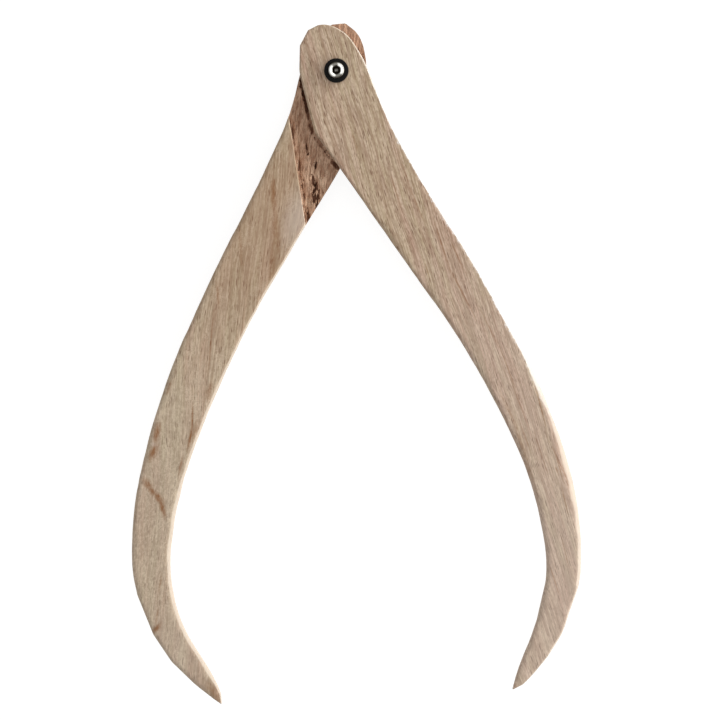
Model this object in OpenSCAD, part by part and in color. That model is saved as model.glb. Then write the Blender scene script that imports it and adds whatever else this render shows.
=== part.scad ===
// Wooden caliper for measuring thrown pots: two bowed arms, half-lapped at a pinned head.
// It lies flat with the screw head up, the tips towards -Y and the floor at z = 0.

/* [Arms] */
// Angle between the arms as they lie
opening = 26.3; // [10:0.1:60]
// Pivot to tip, in a straight line
reach = 321; // [260:1:400]
// Height of the rounded head above the pivot
head_rise = 24; // [20:0.5:30]
// How far the front arm's inner edge bows out from the line between pivot and tip
front_bow = 36.5; // [28:0.5:45]
// How far the rear arm's inner edge bows out from the line between pivot and tip
rear_bow = 39.5; // [28:0.5:45]
// Width of an arm where it bows out most
blade_w = 21; // [17:0.5:27]
// Thickness of the board that the arms are sawn from
stock_t = 9.5; // [8:0.5:14]
// Width of the sanded round along the edges
edge_round = 2.2; // [1:0.1:3]

/* [Half lap] */
// Air between the two lap faces
lap_gap = 0.1; // [0.05:0.05:0.3]
// Air between a lap shoulder and the other arm's edge when the tips meet
shoulder_gap = 0.3; // [0.2:0.1:0.8]

/* [Screw] */
// Diameter of the shank
shank_d = 4.83; // [4:0.01:5.5]
// Air around the shank, on the radius
shank_gap = 0.08; // [0.03:0.01:0.1]
// Diameter of the socket head
head_d = 7.92; // [7:0.02:9]
// Height of the socket head
head_h = 4.83; // [4:0.01:6]
// Size of the hexagon socket across its flats
socket_af = 3.97; // [3:0.01:4.5]
// Depth of the hexagon socket
socket_depth = 2.5; // [1.5:0.1:3]
// How far the screw's end stands out of the nut
screw_proud = 0.95; // [0.2:0.05:3]

/* [Washers] */
// Outer diameter of the rubber washers
washer_d = 12.2; // [10:0.1:16]
// Thickness of the rubber washers
washer_t = 1.3; // [0.8:0.1:3]

/* [Lock nut] */
// Size of the nut across its flats
nut_af = 9.53; // [9:0.01:12]
// Height of the whole nut
nut_h = 6; // [5:0.1:8]
// Height of the hexagon part of the nut
nut_hex_h = 4.3; // [3:0.1:4.6]
// Diameter of the round crown that holds the nylon collar
crown_d = 8.4; // [8:0.1:9]
// Wall of that crown
crown_wall = 0.7; // [0.4:0.1:1]

/* [Hidden] */
$fn = 64;
EPS = 0.01;

// The arms were sawn to a hand-drawn pattern. Each list is in its arm's own frame, in mm:
// the pivot at 0, the tip straight below it, and x growing away from the other arm.
PATTERN_REACH = 321;
PATTERN_RISE = 24;
PATTERN_BLADE_W = 21;
PATTERN_FRONT_BOW = 36.5;
PATTERN_REAR_BOW = 39.5;
LAP_END = 90; // the pattern keeps its size from the head down to here

FRONT_INNER = [
    [-2, 24.9], [-8.6, 23.7], [-13.6, 19.2], [-16.6, 10.6], [-18.3, 3], [-18.5, -8], [-18.9, -22],
    [-19, -27], [-17.5, -31], [-15.3, -37], [-12, -47], [-7.5, -60], [-0.6, -80], [6.3, -100],
    [13.5, -120], [20.4, -140], [25.9, -160], [30.4, -180], [34, -200], [36.3, -218], [36.7, -232],
    [35.8, -248], [33.5, -265], [28.5, -278], [21.2, -290.5], [14.2, -300], [6.3, -310],
    [1.9, -316.4], [0.3, -320], [0, -321.6]
];
FRONT_OUTER = [
    [0.9, -321.6], [6, -319.8], [20, -311.1], [29.8, -302.9], [37.4, -291.4], [45.7, -280.5],
    [50.2, -268.8], [54.8, -250], [57.2, -230], [57.2, -212], [55.6, -190], [51.4, -160],
    [46.6, -140], [42.2, -120], [36.9, -100], [30.6, -80], [24.8, -60], [20.5, -40], [18.3, -29],
    [16.8, -17], [15.2, -2], [13.9, 5], [11.4, 13.5], [8, 18.8], [3, 23.3]
];
REAR_INNER = [
    [-0.6, 24.7], [-6.6, 21.1], [-10.8, 16.2], [-14.7, 5], [-16.2, -4], [-17.6, -13], [-18.9, -23],
    [-19, -27], [-17.4, -31.5], [-13.8, -39.5], [-9.6, -50], [-5.9, -60], [1.8, -80], [9.2, -100],
    [16.7, -120], [22.9, -140], [28.2, -160], [32.9, -180], [36.8, -200], [39.2, -218],
    [39.7, -236], [39, -250], [37.2, -261], [32.5, -275], [27.4, -285], [19, -295.5],
    [9, -305.7], [2.9, -313.8], [0.5, -318.6], [0, -321.4]
];
REAR_OUTER = [
    [0.8, -321.4], [5.2, -319.2], [16, -313.6], [28.9, -305.3], [40.4, -293.4], [52.2, -274.4],
    [57.1, -260], [59.1, -247], [60.7, -232], [60.6, -214], [59.1, -190], [54.6, -160],
    [50.1, -140], [45.1, -120], [39.5, -100], [33.5, -80], [27.5, -60], [22.4, -40], [20, -30],
    [18.5, -19], [17.7, -3], [16.4, 6], [13.2, 14.5], [9, 21], [4, 24]
];
KNEE = 7;         // place in an inner list of the corner where the head meets the lap's edge
SHOULDER_END = 13; // place in an inner list that a shoulder reaches past
CURVE_STEPS = 2;  // straight pieces for each point of the pattern
ROUND_STEPS = 2;  // straight pieces across the sanded round
TIP_FADE = 14;    // the round fades away over this length before a tip
TIP_ROUND = 0.1;  // share of the round that is left at the tip itself
ROUND_LIMIT = 0.4; // most of the board's thickness that a round may take up on one side
WAY_OUT = 4;      // a shoulder runs on past the knee by this many times the pattern's last side
FAR = 60;         // reaches past the head on every side
HEAD_CHAMFER = 0.35;
SOCKET_CHAMFER = 0.35;
SOCKET_TURN = 27;   // degrees from +X to a corner of the socket, as the screw is set
END_CHAMFER = 0.6;
CROWN_CHAMFER = 0.4;
COLLAR_GAP = 0.02;  // air round the nylon collar
COLLAR_SUNK = 0.15; // the collar lies this far inside the crown's mouth

// Stack of the joint, from the floor up
back_z = screw_proud + nut_h + washer_t;
lap_z = stock_t / 2;
shank_l = washer_t + stock_t + back_z;
bore_d = shank_d + 2 * shank_gap;
crown_h = nut_h - nut_hex_h;
collar_d = crown_d - 2 * crown_wall;

// How far along the free arm a point of the pattern lies, from 0 at the lap to 1 at the tip
function along(y) = max(0, -y - LAP_END) / (PATTERN_REACH - LAP_END);
function swell(y) = pow(sin(180 * min(1, along(y))), 2);
function fit_y(y) =
    y > 0 ? y * head_rise / PATTERN_RISE :
    y > -LAP_END ? y : -LAP_END - along(y) * (reach - LAP_END);
function fitted(points, more_x) = [for (p = points) [p.x + more_x * swell(p.y), fit_y(p.y)]];

// A round curve that follows a pattern: one parabola for each point, between the middles of its sides
function bend(a, b, c) = [
    for (k = [0:CURVE_STEPS - 1])
        let (t = k / CURVE_STEPS, m = (a + b) / 2, n = (b + c) / 2)
            m * pow(1 - t, 2) + b * 2 * t * (1 - t) + n * pow(t, 2)
];
function closed_curve(p) = [
    for (i = [0:len(p) - 1]) each bend(p[(i + len(p) - 1) % len(p)], p[i], p[(i + 1) % len(p)])
];
function open_curve(p) = [for (i = [1:len(p) - 2]) each bend(p[i - 1], p[i], p[i + 1])];

front_more = front_bow - PATTERN_FRONT_BOW;
rear_more = rear_bow - PATTERN_REAR_BOW;
blade_more = blade_w - PATTERN_BLADE_W;
front_inner = fitted(FRONT_INNER, front_more);
rear_inner = fitted(REAR_INNER, rear_more);
front_outline = closed_curve(concat(front_inner, fitted(FRONT_OUTER, front_more + blade_more)));
rear_outline = closed_curve(concat(rear_inner, fitted(REAR_OUTER, rear_more + blade_more)));

// Each arm stands half of the opening away from -Y, and the outlines' box is centred on the origin
function turned(p, a) = [p.x * cos(a) - p.y * sin(a), p.x * sin(a) + p.y * cos(a)];
spread = concat(
    [for (p = front_outline) turned(p, opening / 2)],
    [for (p = rear_outline) turned([-p.x, p.y], -opening / 2)]
);
xs = [for (p = spread) p.x];
ys = [for (p = spread) p.y];
pivot_x = -(min(xs) + max(xs)) / 2;
pivot_y = -(min(ys) + max(ys)) / 2;

module at_pivot(z) {
    translate([pivot_x, pivot_y, z]) children();
}

module front_place() {
    at_pivot(back_z) rotate(opening / 2) children();
}

module rear_place() {
    at_pivot(back_z) rotate(-opening / 2) mirror([1, 0, 0]) children();
}

// Triangles that fill an outline, laid like rungs from its top down to its tip
function rungs(p) = [
    for (a = 0, b = len(p) - 1; b - a > 1;
        left = p[a + 1].y > p[b - 1].y, a = left ? a + 1 : a, b = left ? b : b - 1)
            [a, p[a + 1].y > p[b - 1].y ? a + 1 : b - 1, b]
];

// A board cut to an outline, with a quarter round sanded along both of its edges
module eased_board(outline) {
    n = len(outline);
    quarter = [for (k = [0:ROUND_STEPS]) 90 * k / ROUND_STEPS];
    round_h = min(edge_round, ROUND_LIMIT * stock_t);
    rings = concat(
        [for (a = quarter) [edge_round * (1 - sin(a)), round_h * (1 - cos(a))]],
        [for (i = [ROUND_STEPS:-1:0])
            [edge_round * (1 - sin(quarter[i])), stock_t - round_h * (1 - cos(quarter[i]))]]
    );
    inward = [
        for (i = [0:n - 1])
            let (d = outline[(i + 1) % n] - outline[(i + n - 1) % n])
                [-d.y, d.x] / norm(d) * min(1, TIP_ROUND + norm(outline[i] - [0, -reach]) / TIP_FADE)
    ];
    points = [
        for (r = rings) for (i = [0:n - 1])
            [outline[i].x + inward[i].x * r[0], outline[i].y + inward[i].y * r[0], r[1]]
    ];
    last = (len(rings) - 1) * n;
    flat = rungs(outline);
    sides = [
        for (r = [0:len(rings) - 2]) for (i = [0:n - 1])
            let (a = r * n + i, b = r * n + (i + 1) % n)
                each [[a, a + n, b], [b, a + n, b + n]]
    ];
    polyhedron(points, concat(flat, sides, [for (t = flat) [last + t[2], last + t[1], last + t[0]]]));
}

// What is sawn out of an arm's half: all that the other arm's half covers when the tips meet
module lap_cut(other_inner) {
    knee = other_inner[KNEE];
    way_out = knee + WAY_OUT * (knee - other_inner[KNEE + 1]);
    edge = open_curve([way_out, for (i = [KNEE:SHOULDER_END]) other_inner[i]]);
    shoulder = [for (p = edge) [shoulder_gap - p.x, p.y]];
    low = shoulder[len(shoulder) - 1].y;
    high = shoulder[0].y;
    polygon(concat(shoulder, [[-FAR, low], [-FAR, FAR], [FAR, FAR], [FAR, high]]));
}

module bore(h) {
    translate([0, 0, -1]) cylinder(d = bore_d, h = h + 2);
}

// A ring with its outer edges rounded over
module rubber_ring() {
    edge = washer_t / 4;
    rotate_extrude() difference() {
        union() {
            translate([bore_d / 2, edge]) square([(washer_d - bore_d) / 2, washer_t - 2 * edge]);
            translate([bore_d / 2, 0]) square([(washer_d - bore_d) / 2 - edge, washer_t]);
            for (y = [edge, washer_t - edge]) translate([washer_d / 2 - edge, y]) circle(edge);
        }
        translate([-FAR, -1]) square([FAR, washer_t + 2]);
    }
}

module front_arm() color("tan") front_place() difference() {
    eased_board(front_outline);
    translate([0, 0, -1]) linear_extrude(lap_z + lap_gap / 2 + 1) lap_cut(rear_inner);
    bore(stock_t);
}

module rear_arm() color("burlywood") rear_place() difference() {
    eased_board(rear_outline);
    translate([0, 0, lap_z - lap_gap / 2]) linear_extrude(stock_t) lap_cut(front_inner);
    bore(stock_t);
}

module front_washer() color([0.12, 0.13, 0.12]) {
    at_pivot(back_z + stock_t) rubber_ring();
}

module rear_washer() color([0.12, 0.13, 0.12]) {
    at_pivot(back_z - washer_t) rubber_ring();
}

module pivot_screw() color("silver") {
    top = shank_l + head_h;
    end_chamfer = min(END_CHAMFER, screw_proud);
    socket_r = socket_af / 2 / cos(30);
    at_pivot(0) difference() {
        rotate_extrude() polygon([
            [0, 0], [shank_d / 2 - end_chamfer, 0], [shank_d / 2, end_chamfer], [shank_d / 2, shank_l],
            [head_d / 2, shank_l], [head_d / 2, top - HEAD_CHAMFER],
            [head_d / 2 - HEAD_CHAMFER, top], [0, top]
        ]);
        translate([0, 0, top - socket_depth]) rotate(SOCKET_TURN)
            cylinder(r = socket_r, h = socket_depth + 1, $fn = 6);
        translate([0, 0, top - SOCKET_CHAMFER])
            cylinder(r1 = socket_r - SOCKET_CHAMFER, r2 = socket_r + EPS, h = SOCKET_CHAMFER + EPS);
    }
}

// The nut lies with its crown and nylon collar down, away from the wood
module lock_nut() color("lightgray") {
    corner_r = nut_af / 2 / cos(30);
    bevel = corner_r - nut_af / 2;
    at_pivot(screw_proud) difference() {
        union() {
            intersection() {
                translate([0, 0, crown_h]) cylinder(r = corner_r, h = nut_hex_h, $fn = 6);
                rotate_extrude() polygon([
                    [0, crown_h], [nut_af / 2, crown_h], [corner_r, crown_h + bevel],
                    [corner_r, nut_h - bevel / 2], [nut_af / 2 + bevel / 2, nut_h], [0, nut_h]
                ]);
            }
            rotate_extrude() polygon([
                [0, 0], [crown_d / 2 - CROWN_CHAMFER, 0], [crown_d / 2, CROWN_CHAMFER],
                [crown_d / 2, crown_h + EPS], [0, crown_h + EPS]
            ]);
        }
        bore(nut_h);
        translate([0, 0, -1]) cylinder(d = collar_d, h = crown_h + 1);
    }
}

module nut_collar() color("whitesmoke") {
    at_pivot(screw_proud + COLLAR_SUNK) rotate_extrude()
        translate([bore_d / 2, 0]) square([(collar_d - bore_d) / 2 - COLLAR_GAP, crown_h - COLLAR_SUNK]);
}

front_arm();
rear_arm();
front_washer();
rear_washer();
pivot_screw();
lock_nut();
nut_collar();
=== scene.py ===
"""Looks of a wooden pottery caliper: two bowed arms, half-lapped and pinned by a socket-head screw."""

import math

import bpy
import numpy as np
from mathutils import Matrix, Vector, noise
from mathutils.geometry import delaunay_2d_cdt
from mathutils.kdtree import KDTree


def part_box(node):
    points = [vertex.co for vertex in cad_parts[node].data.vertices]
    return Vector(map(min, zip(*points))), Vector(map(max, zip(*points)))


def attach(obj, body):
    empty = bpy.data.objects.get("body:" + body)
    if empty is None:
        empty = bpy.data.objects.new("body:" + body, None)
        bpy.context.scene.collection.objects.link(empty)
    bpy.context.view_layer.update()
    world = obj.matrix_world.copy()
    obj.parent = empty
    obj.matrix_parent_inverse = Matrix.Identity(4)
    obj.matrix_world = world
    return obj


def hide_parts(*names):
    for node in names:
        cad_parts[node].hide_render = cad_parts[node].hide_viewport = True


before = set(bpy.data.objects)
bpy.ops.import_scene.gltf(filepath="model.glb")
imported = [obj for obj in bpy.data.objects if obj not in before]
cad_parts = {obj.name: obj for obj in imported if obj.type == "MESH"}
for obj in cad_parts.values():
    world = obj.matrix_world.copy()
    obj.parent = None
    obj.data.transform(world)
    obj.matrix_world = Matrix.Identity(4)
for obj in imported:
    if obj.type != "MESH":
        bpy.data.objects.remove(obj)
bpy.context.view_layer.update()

MM = 0.001
SCREW_LOW, SCREW_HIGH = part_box("pivot_screw")
PIVOT = np.array([(SCREW_LOW.x + SCREW_HIGH.x) / 2, (SCREW_LOW.y + SCREW_HIGH.y) / 2])
WOOD_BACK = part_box("front_arm")[0].z
WOOD_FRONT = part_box("front_arm")[1].z
WOOD_MIDDLE = (WOOD_BACK + WOOD_FRONT) / 2

# How the photograph lies over the part
PIXEL = 0.5 * MM  # real size of one pixel of the photograph, on the wood
PIVOT_PX = (335.9, 70.6)
CENTRE_PX = (359.5, 359.5)
CAMERA_TURN = math.radians(2.9)
SEEN_RIGHT = np.array([math.cos(CAMERA_TURN), -math.sin(CAMERA_TURN)])
SEEN_UP = np.array([math.sin(CAMERA_TURN), math.cos(CAMERA_TURN)])


def seen(px, py):
    """The place on the part, in the row frame, of one pixel of the photograph."""
    right = (px - PIVOT_PX[0]) * PIXEL
    up = (PIVOT_PX[1] - py) * PIXEL
    return PIVOT + right * SEEN_RIGHT + up * SEEN_UP


# Camera, lights and floor

CAMERA_HEIGHT = 2.5
SENSOR = 36.0
VIEW_LIMIT = 20.0
PHOTO_SIDE = 720


def make_camera():
    camera = bpy.data.cameras.new("camera")
    camera.sensor_width = SENSOR
    camera.lens = SENSOR * CAMERA_HEIGHT / (PHOTO_SIDE * PIXEL)
    camera.clip_end = VIEW_LIMIT
    place = bpy.data.objects.new("camera", camera)
    x, y = seen(*CENTRE_PX)
    place.location = (x, y, WOOD_MIDDLE + CAMERA_HEIGHT)
    place.rotation_euler = (0, 0, -CAMERA_TURN)
    bpy.context.scene.collection.objects.link(place)
    bpy.context.scene.camera = place


def make_lamp(name, azimuth, elevation, distance, width, height, watts, tint):
    """An area lamp that looks at the middle of the part. Azimuth 0 is on its +X side and 90 on +Y."""
    lamp = bpy.data.lights.new(name, "AREA")
    lamp.shape = "RECTANGLE"
    lamp.size = width
    lamp.size_y = height
    lamp.energy = watts
    lamp.color = tint
    place = bpy.data.objects.new(name, lamp)
    a, e = math.radians(azimuth), math.radians(elevation)
    way = Vector((math.cos(a) * math.cos(e), math.sin(a) * math.cos(e), math.sin(e)))
    place.location = way * distance
    place.rotation_euler = way.to_track_quat("Z", "Y").to_euler()
    bpy.context.scene.collection.objects.link(place)


class Wiring:
    """Adds nodes to one shader tree. A socket takes a number, a colour or another node's output."""

    def __init__(self, tree):
        self.tree = tree

    def feed(self, socket, value):
        if isinstance(value, bpy.types.NodeSocket):
            self.tree.links.new(value, socket)
        else:
            socket.default_value = value

    def add(self, kind, values=None, **settings):
        node = self.tree.nodes.new(kind)
        for name, value in settings.items():
            setattr(node, name, value)
        for name, value in (values or {}).items():
            self.feed(node.inputs[name], value)
        return node

    def math(self, operation, a, b=0.0, c=0.0, clamp=False):
        return self.add("ShaderNodeMath", {0: a, 1: b, 2: c}, operation=operation, use_clamp=clamp).outputs[0]

    def times(self, a, b, clamp=False):
        return self.math("MULTIPLY", a, b, clamp=clamp)

    def over(self, a, b):
        return self.math("DIVIDE", a, b)

    def plus(self, a, b):
        return self.math("ADD", a, b)

    def minus(self, a, b, clamp=False):
        return self.math("SUBTRACT", a, b, clamp=clamp)

    def vector(self, operation, a, b=(0, 0, 0)):
        node = self.add("ShaderNodeVectorMath", {0: a, 1: b}, operation=operation)
        return node.outputs["Value" if operation in ("DOT_PRODUCT", "LENGTH") else "Vector"]

    def parts(self, vector):
        return self.add("ShaderNodeSeparateXYZ", {0: vector}).outputs

    def joined(self, x, y, z):
        return self.add("ShaderNodeCombineXYZ", {0: x, 1: y, 2: z}).outputs[0]

    def scaled(self, vector, shares):
        return self.vector("MULTIPLY", vector, shares)

    def turned(self, vector, angle):
        """vector, turned about the axis that points up."""
        values = {"Vector": vector, "Angle": angle}
        return self.add("ShaderNodeVectorRotate", values, rotation_type="Z_AXIS").outputs[0]

    def place(self):
        """The place on the part, in metres."""
        return self.add("ShaderNodeTexCoord").outputs["Object"]

    def painted(self, name):
        """What the mesh says under a name."""
        return self.add("ShaderNodeAttribute", attribute_name=name).outputs["Fac"]

    def between(self, value, low, high, new_low=0.0, new_high=1.0):
        """value, moved from one range to another with soft ends."""
        inputs = {"Value": value, "From Min": low, "From Max": high, "To Min": new_low, "To Max": new_high}
        return self.add("ShaderNodeMapRange", inputs, interpolation_type="SMOOTHSTEP").outputs[0]

    def mix(self, share, a, b):
        node = self.add("ShaderNodeMix", data_type="RGBA", clamp_factor=True)
        self.feed(node.inputs["Factor"], share)
        self.feed(node.inputs[6], a)
        self.feed(node.inputs[7], b)
        return node.outputs[2]

    def group(self, tree, values):
        node = self.add("ShaderNodeGroup", node_tree=tree)
        for name, value in values.items():
            self.feed(node.inputs[name], value)
        return node.outputs

    def noise(self, vector, scale=1.0, detail=2.0, rough=0.5, warp=0.0):
        inputs = {"Vector": vector, "Scale": scale, "Detail": detail, "Roughness": rough, "Distortion": warp}
        return self.add("ShaderNodeTexNoise", inputs).outputs["Fac"]


def new_group(name, inputs, outputs):
    """An empty shader node group. Each input has a number or a vector as its default."""
    tree = bpy.data.node_groups.new(name, "ShaderNodeTree")
    for label, value in inputs.items():
        kind = "NodeSocketFloat" if isinstance(value, float) else "NodeSocketVector"
        socket = tree.interface.new_socket(label, in_out="INPUT", socket_type=kind)
        socket.default_value = value
    for label in outputs:
        kind = "NodeSocketVector" if label == "Vector" else "NodeSocketFloat"
        tree.interface.new_socket(label, in_out="OUTPUT", socket_type=kind)
    wiring = Wiring(tree)
    return wiring, wiring.add("NodeGroupInput").outputs, wiring.add("NodeGroupOutput").inputs


def tone(red, green, blue):
    """A colour given from 0 to 255, as the linear colour that a socket takes."""
    def linear(c):
        c /= 255
        return c / 12.92 if c <= 0.04045 else ((c + 0.055) / 1.055) ** 2.4
    return (linear(red), linear(green), linear(blue), 1.0)


def new_material(name):
    material = bpy.data.materials.new(name)
    material.use_nodes = True
    material.node_tree.nodes.clear()
    wiring = Wiring(material.node_tree)
    return material, wiring


def finish_material(wiring, shader):
    output = wiring.add("ShaderNodeOutputMaterial")
    wiring.feed(output.inputs["Surface"], shader)


WHITE = (1.0, 1.0, 1.0, 1.0)
ROOM_LIGHT = 0.47
FLOOR_GLOW = 0.86
FLOOR_TONE = (0.3, 0.3, 0.3, 1.0)


def not_lighting(w):
    """1 for a ray that shows the surroundings, straight or in a gloss, and 0 for one that lights the part."""
    path = w.add("ShaderNodeLightPath").outputs
    seen_ray = w.math("MAXIMUM", path["Is Camera Ray"], path["Is Glossy Ray"])
    return w.math("MAXIMUM", seen_ray, path["Is Transmission Ray"])


def make_world():
    world = bpy.data.worlds.new("studio")
    world.use_nodes = True
    world.node_tree.nodes.clear()
    w = Wiring(world.node_tree)
    strength = w.add("ShaderNodeMix", {"Factor": not_lighting(w), 2: ROOM_LIGHT, 3: 1.0}, data_type="FLOAT")
    back = w.add("ShaderNodeBackground", {"Color": WHITE, "Strength": strength.outputs[0]})
    output = w.add("ShaderNodeOutputWorld")
    w.feed(output.inputs["Surface"], back.outputs[0])
    bpy.context.scene.world = world


FLOOR_BOUNCE = (0.8, 0.8, 0.8, 1.0)  # how pale the floor is for light that goes on to the part
FLOOR_SIDE = 12.0
FLOOR_DROP = 0.2 * MM


def make_floor():
    bpy.ops.mesh.primitive_plane_add(size=FLOOR_SIDE, location=(0, 0, -FLOOR_DROP))
    floor = bpy.context.active_object
    floor.name = "floor"
    material, w = new_material("pale_floor")
    glow = w.add("ShaderNodeEmission", {"Color": WHITE, "Strength": FLOOR_GLOW})
    shown = w.add("ShaderNodeBsdfDiffuse", {"Color": FLOOR_TONE})
    bright = w.add("ShaderNodeAddShader", {0: glow.outputs[0], 1: shown.outputs[0]})
    plain = w.add("ShaderNodeBsdfDiffuse", {"Color": FLOOR_BOUNCE})
    top = w.add("ShaderNodeMixShader", {0: not_lighting(w), 1: plain.outputs[0], 2: bright.outputs[0]})
    under = w.add("ShaderNodeNewGeometry").outputs["Backfacing"]
    clear = w.add("ShaderNodeBsdfTransparent")
    both = w.add("ShaderNodeMixShader", {0: under, 1: top.outputs[0], 2: clear.outputs[0]})
    finish_material(w, both.outputs[0])
    floor.data.materials.append(material)


make_camera()
make_lamp(
    "key", azimuth=10, elevation=17, distance=1.6, width=3.2, height=0.8, watts=40, tint=(1.0, 0.98, 0.95)
)
make_lamp("top", azimuth=70, elevation=72, distance=1.8, width=1.2, height=1.2, watts=3, tint=(1.0, 1.0, 1.0))
make_world()
make_floor()

# Node groups that several finishes share


IN_MM = (1000, 1000, 1000)


def grain_coordinates_group():
    """Places in mm across and along the grain. The grain swings over by Tilt above the place Turn At."""
    w, given, out = new_group(
        "Grain coordinates",
        {"Vector": (0, 0, 0), "Pivot": (0, 0, 0), "Angle": 0.0, "Tilt": 0.0, "Turn At": 60.0,
         "Wander": 1.0},
        ("Vector",),
    )
    offset = w.vector("SUBTRACT", given["Vector"], given["Pivot"])
    x, y, z = w.parts(w.turned(w.scaled(offset, IN_MM), given["Angle"]))
    bend = 30.0
    above = w.math("SMOOTH_MAX", w.plus(y, given["Turn At"]), 0.0, bend)
    swung = w.plus(x, w.times(above, given["Tilt"]))
    across, along, seed = 0.05, 0.018, 3.0
    slow = w.noise(w.joined(w.times(x, across), w.times(y, along), seed), detail=1.0)
    drift = w.times(w.minus(slow, 0.5), given["Wander"])
    w.feed(out["Vector"], w.joined(w.plus(swung, drift), y, z))
    return w.tree


def in_cells(w, given):
    """The place, counted in cells of the size Across and Along, and moved on by Seed."""
    x, y, z = w.parts(given["Vector"])
    return w.joined(
        w.plus(w.over(x, given["Across"]), given["Seed"]),
        w.over(y, given["Along"]),
        w.over(z, given["Across"]),
    )


def streaks_group():
    """Soft lines along the grain, from 0 to 1. Across and Along are their sizes in mm."""
    w, given, out = new_group(
        "Grain streaks",
        {"Vector": (0, 0, 0), "Across": 1.5, "Along": 30.0, "Seed": 0.0, "Sharpness": 0.5},
        ("Streaks",),
    )
    raw = w.noise(in_cells(w, given))
    half = w.times(w.minus(1.0, given["Sharpness"]), 0.3)
    w.feed(out["Streaks"], w.between(raw, w.minus(0.5, half), w.plus(0.5, half)))
    return w.tree


def pores_group():
    """Short dark dashes along the grain, from 0 to 1. Each has the room Across and Along, in mm."""
    w, given, out = new_group(
        "Pore dashes",
        {"Vector": (0, 0, 0), "Across": 1.0, "Along": 6.0, "Size": 0.16, "Share": 0.5, "Seed": 0.0},
        ("Pores",),
    )
    cells = w.add("ShaderNodeTexVoronoi", {"Vector": in_cells(w, given), "Scale": 1.0, "Randomness": 1.0})
    inner = w.minus(given["Size"], cells.outputs["Distance"])
    steepness = 2.5
    dash = w.times(w.over(inner, given["Size"]), steepness, clamp=True)
    pick = w.parts(cells.outputs["Color"])[0]
    kept = w.math("LESS_THAN", pick, given["Share"])
    w.feed(out["Pores"], w.times(dash, kept))
    return w.tree


def stain_group():
    """A ragged oval mark at one place on the part, from 0 to 1, with Length and Width in mm."""
    w, given, out = new_group(
        "Stain",
        {"Vector": (0, 0, 0), "Centre": (0, 0, 0), "Angle": 0.0, "Length": 10.0, "Width": 2.0,
         "Ragged": 0.5, "Softness": 0.5},
        ("Stain",),
    )
    offset = w.scaled(w.vector("SUBTRACT", given["Vector"], given["Centre"]), (1000, 1000, 0))
    turned = w.turned(offset, given["Angle"])
    x, y, _ = w.parts(turned)
    across = w.over(w.times(x, 2.0), given["Width"])
    along = w.over(w.times(y, 2.0), given["Length"])
    far = w.vector("LENGTH", w.joined(across, along, 0.0))
    rough = w.noise(w.scaled(turned, (1.1, 0.35, 1)), detail=3.0)
    ragged_gain = 4.0
    uneven = w.times(w.minus(rough, 0.5), w.times(given["Ragged"], ragged_gain))
    edge = w.plus(far, uneven)
    start = w.minus(1.0, given["Softness"])
    stop = w.plus(1.0, given["Softness"])
    w.feed(out["Stain"], w.minus(1.0, w.between(edge, start, stop)))
    return w.tree


def flecks_group():
    """Small pale flecks that curl across the grain, from 0 to 1, Size in mm."""
    w, given, out = new_group(
        "Ray flecks",
        {"Vector": (0, 0, 0), "Size": 1.5, "Share": 0.5},
        ("Flecks",),
    )
    x, y, z = w.parts(given["Vector"])
    wide = w.times(given["Size"], 1.6)
    place = w.joined(w.over(x, wide), w.over(y, given["Size"]), w.over(z, wide))
    raw = w.noise(place, detail=2.0, rough=0.6, warp=1.4)
    thinness = 14.0
    off_ridge = w.times(w.math("ABSOLUTE", w.minus(raw, 0.5)), thinness)
    ridge = w.minus(1.0, off_ridge, clamp=True)
    patch = w.noise(w.scaled(given["Vector"], (0.11, 0.05, 0.11)), detail=2.0)
    patch_start, patch_stop = 0.62, 0.66
    kept = w.between(patch, w.minus(patch_start, w.times(given["Share"], 0.3)), patch_stop)
    w.feed(out["Flecks"], w.times(ridge, kept))
    return w.tree


def cloud_group():
    """Soft uneven patches, from 0 to 1. Scale is how many lie along one metre."""
    w, given, out = new_group(
        "Clouding",
        {"Vector": (0, 0, 0), "Scale": 400.0, "Detail": 2.0, "Roughness": 0.5},
        ("Cloud",),
    )
    w.feed(out["Cloud"], w.noise(given["Vector"], given["Scale"], given["Detail"], given["Roughness"]))
    return w.tree


GRAIN = grain_coordinates_group()
STREAKS = streaks_group()
PORES = pores_group()
STAIN = stain_group()
FLECKS = flecks_group()
CLOUD = cloud_group()


def down_angle(degrees):
    """The turn, in the row frame, that lays something along a line leaning right of straight down."""
    return -math.radians(degrees) + CAMERA_TURN


def stains(w, vector, marks):
    """The strongest of several stains. Each mark is given as the brown marks are."""
    total = 0.0
    for px, py, lean, length, wide, ragged, soft, strength in marks:
        x, y = seen(px, py)
        values = {
            "Vector": vector, "Centre": (x, y, 0), "Angle": down_angle(lean), "Length": length,
            "Width": wide, "Ragged": ragged, "Softness": soft,
        }
        mark = w.times(w.group(STAIN, values)["Stain"], strength)
        total = w.math("MAXIMUM", total, mark)
    return total


WOODS = {
    "front_arm": {
        "pale": tone(234, 213, 190), "warm": tone(208, 174, 153), "dark": tone(138, 106, 83),
        "beige": tone(207, 190, 157), "pore": tone(108, 76, 54), "lean": 17.0, "tilt": -0.02,
        "turn_at": 62.0, "pores": 0.5, "flecks": 0.0, "seed": 3.0,
    },
    "rear_arm": {
        "pale": tone(232, 213, 187), "warm": tone(208, 177, 151), "dark": tone(142, 115, 90),
        "beige": tone(203, 187, 155), "pore": tone(114, 83, 59), "lean": -4.0, "tilt": -0.04,
        "turn_at": 150.0, "pores": 0.4, "flecks": 0.5, "seed": 11.0,
    },
}
BROWN = tone(142, 96, 58)
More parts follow.
